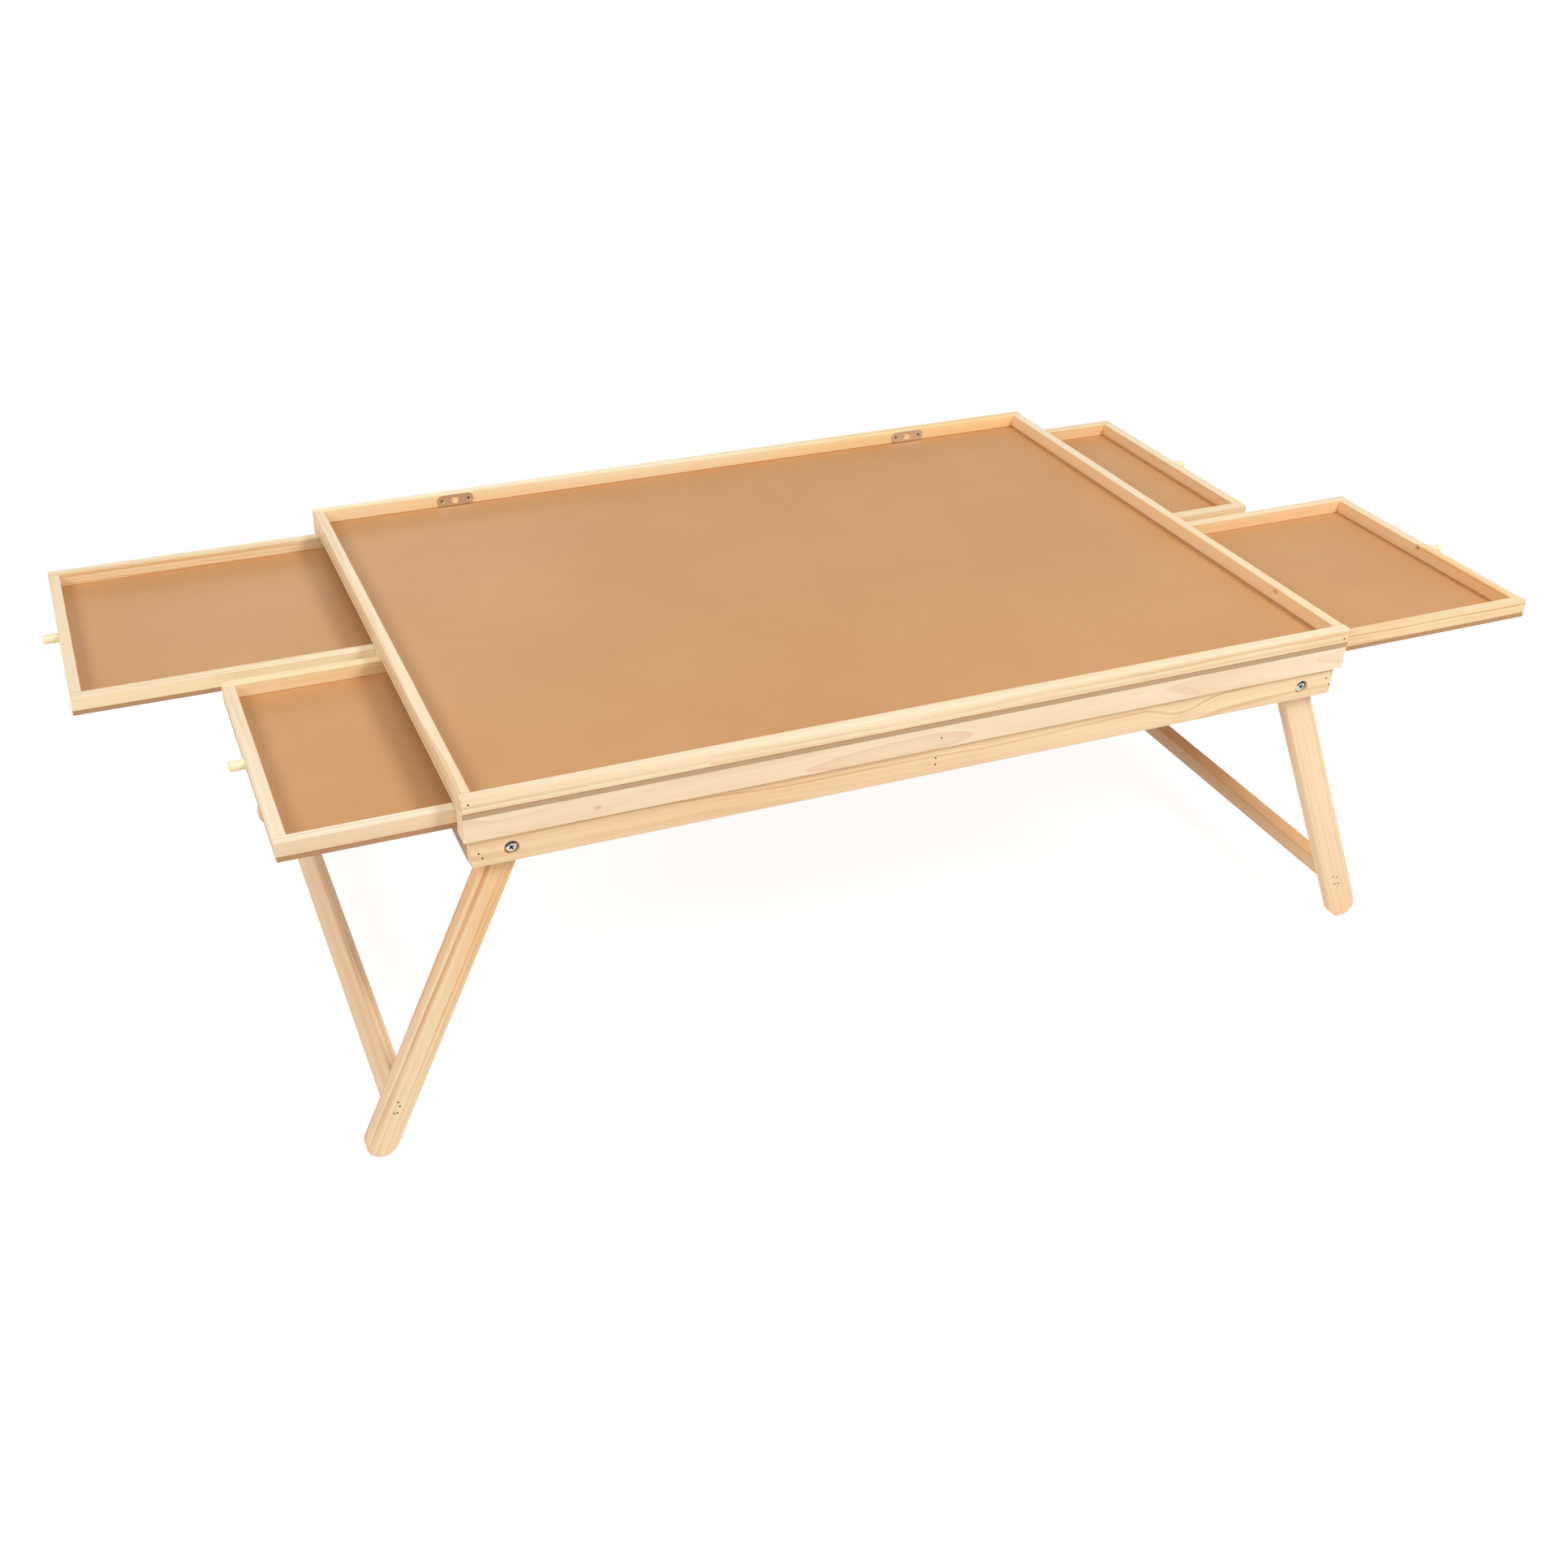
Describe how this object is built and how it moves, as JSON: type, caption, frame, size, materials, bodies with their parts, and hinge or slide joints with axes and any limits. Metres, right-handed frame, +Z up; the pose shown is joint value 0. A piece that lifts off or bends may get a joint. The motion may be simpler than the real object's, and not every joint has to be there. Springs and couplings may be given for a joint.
{
  "type": "folding puzzle table with drawers",
  "caption": "Low pine puzzle table: lipped hardboard top over sliding hardboard-bottomed drawers, on splayed leg frames that fold flat under it.",
  "frame": {"origin": "on the floor, under the middle of the table top", "axes": "+X along the length towards the right-hand drawers, +Y towards the back, +Z up"},
  "size_m": [1.4075, 0.622, 0.3678],
  "materials": {
    "pine": "clear satin on knotty pine",
    "hardboard": "smooth tempered hardboard",
    "dowel": "sanded birch dowel",
    "zinc": "bright zinc plate",
    "strike_plate": "bronzed steel"
  },
  "bodies": {
    "table": {"front_upper_rail": "pine", "back_upper_rail": "pine", "left_upper_rail": "pine", "right_upper_rail": "pine", "front_lower_rail": "pine", "back_lower_rail": "pine", "left_divider": "pine", "right_divider": "pine", "stop_rail": "pine", "front_apron": "pine", "back_apron": "pine", "left_end_rail": "pine", "right_end_rail": "pine", "mid_rail": "pine", "work_panel": "hardboard", "strike_plates": "strike_plate", "strike_plate_screws": "zinc", "pivot_bolts": "zinc", "pivot_washers": "zinc", "pivot_nuts": "zinc"},
    "left_leg_frame": {"left_front_leg": "pine", "left_back_leg": "pine", "left_stretcher": "pine"},
    "right_leg_frame": {"right_front_leg": "pine", "right_back_leg": "pine", "right_stretcher": "pine"},
    "front_left_drawer": {"front_left_drawer_face": "pine", "front_left_drawer_back": "pine", "front_left_drawer_front_side": "pine", "front_left_drawer_back_side": "pine", "front_left_drawer_bottom": "hardboard", "front_left_drawer_knob": "dowel"},
    "back_left_drawer": {"back_left_drawer_face": "pine", "back_left_drawer_back": "pine", "back_left_drawer_front_side": "pine", "back_left_drawer_back_side": "pine", "back_left_drawer_bottom": "hardboard", "back_left_drawer_knob": "dowel"},
    "front_right_drawer": {"front_right_drawer_face": "pine", "front_right_drawer_back": "pine", "front_right_drawer_front_side": "pine", "front_right_drawer_back_side": "pine", "front_right_drawer_bottom": "hardboard", "front_right_drawer_knob": "dowel"},
    "back_right_drawer": {"back_right_drawer_face": "pine", "back_right_drawer_back": "pine", "back_right_drawer_front_side": "pine", "back_right_drawer_back_side": "pine", "back_right_drawer_bottom": "hardboard", "back_right_drawer_knob": "dowel"}
  },
  "joints": [
    {"name": "left_leg_fold", "type": "hinge", "parent": "table", "child": "left_leg_frame", "pos_m": [-0.3912, 0, 0.31119], "axis": [0, -1, 0], "range_deg": [0, 113.5]},
    {"name": "right_leg_fold", "type": "hinge", "parent": "table", "child": "right_leg_frame", "pos_m": [0.3912, 0, 0.31119], "axis": [0, 1, 0], "range_deg": [0, 113.5]},
    {"name": "front_left_drawer_slide", "type": "slide", "parent": "table", "child": "front_left_drawer", "axis": [-1, 0, 0], "range_m": [-0.1465, 0.1835]},
    {"name": "back_left_drawer_slide", "type": "slide", "parent": "table", "child": "back_left_drawer", "axis": [-1, 0, 0], "range_m": [-0.278, 0.052]},
    {"name": "front_right_drawer_slide", "type": "slide", "parent": "table", "child": "front_right_drawer", "axis": [1, 0, 0], "range_m": [-0.2355, 0.0945]},
    {"name": "back_right_drawer_slide", "type": "slide", "parent": "table", "child": "back_right_drawer", "axis": [1, 0, 0], "range_m": [-0.1185, 0.2115]}
  ]
}
